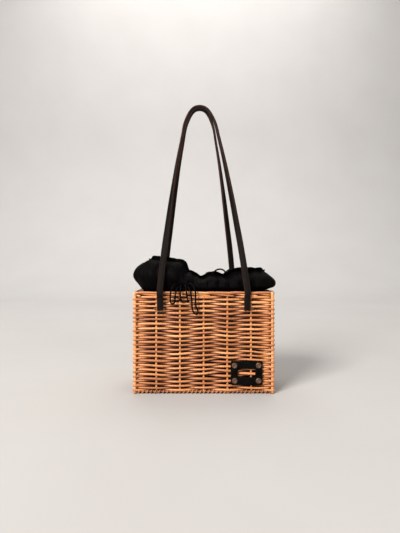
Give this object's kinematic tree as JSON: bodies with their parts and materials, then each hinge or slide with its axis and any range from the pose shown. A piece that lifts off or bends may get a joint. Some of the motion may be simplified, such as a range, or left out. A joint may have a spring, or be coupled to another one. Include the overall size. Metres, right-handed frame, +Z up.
{
  "type": "basket box bag",
  "caption": "Woven willow box bag with a gathered black drawstring lining, dark leather shoulder straps that fold down and a riveted leather frame on its front",
  "frame": {"origin": "on the ground under the middle of the basket", "axes": "X across the width, to the right seen from the front; -Y is the front, with the leather frame; +Z up"},
  "size_m": [0.242, 0.1261, 0.5222],
  "materials": {
    "willow_weave": "stripped willow rods woven in a plain weave, satin, honey brown",
    "willow_rod": "stripped round willow rods, satin, honey brown",
    "strap_leather": "smooth dark brown-black strap leather with a fine grain and stitched edges",
    "black_leather": "black grained leather with a cut edge",
    "black_cotton": "plain-woven black cotton, gathered",
    "black_cord": "twisted black cotton cord with a slight sheen",
    "waxed_thread": "reddish-brown waxed thread",
    "aged_brass": "dull aged brass with a dark sunk centre"
  },
  "bodies": {
    "basket": {"base": "willow_weave", "side_weave": "willow_weave", "border": "willow_weave", "stake_front_1": "willow_rod", "stake_front_2": "willow_rod", "stake_front_3": "willow_rod", "stake_front_4": "willow_rod", "stake_front_5": "willow_rod", "stake_back_1": "willow_rod", "stake_back_2": "willow_rod", "stake_back_3": "willow_rod", "stake_back_4": "willow_rod", "stake_back_5": "willow_rod", "stake_left_1": "willow_rod", "stake_left_2": "willow_rod", "stake_right_1": "willow_rod", "stake_right_2": "willow_rod", "corner_post_front_left": "willow_rod", "corner_post_front_right": "willow_rod", "corner_post_back_left": "willow_rod", "corner_post_back_right": "willow_rod", "lining": "black_cotton", "collar": "black_cotton", "drawstring": "black_cord", "drawstring_slack": "black_cord", "bow_knot": "black_cord", "bow_loop_left": "black_cord", "bow_loop_right": "black_cord", "bow_end_left": "black_cord", "bow_end_left_knot": "black_cord", "bow_end_right": "black_cord", "bow_end_right_knot": "black_cord", "lashing_front_left": "waxed_thread", "lashing_front_right": "waxed_thread", "lashing_back_left": "waxed_thread", "lashing_back_right": "waxed_thread", "leather_frame": "black_leather", "frame_rivets": "aged_brass", "frame_washers": "aged_brass"},
    "front_strap": {"strap_front": "strap_leather"},
    "back_strap": {"strap_back": "strap_leather"}
  },
  "joints": [
    {"name": "front_strap_fold", "type": "hinge", "parent": "basket", "child": "front_strap", "pos_m": [0, -0.059, 0.145], "axis": [1, 0, 0], "range_deg": [0, 118]},
    {"name": "back_strap_fold", "type": "hinge", "parent": "basket", "child": "back_strap", "pos_m": [-0.009, 0.059, 0.145], "axis": [-1, 0, 0], "range_deg": [0, 112]}
  ]
}
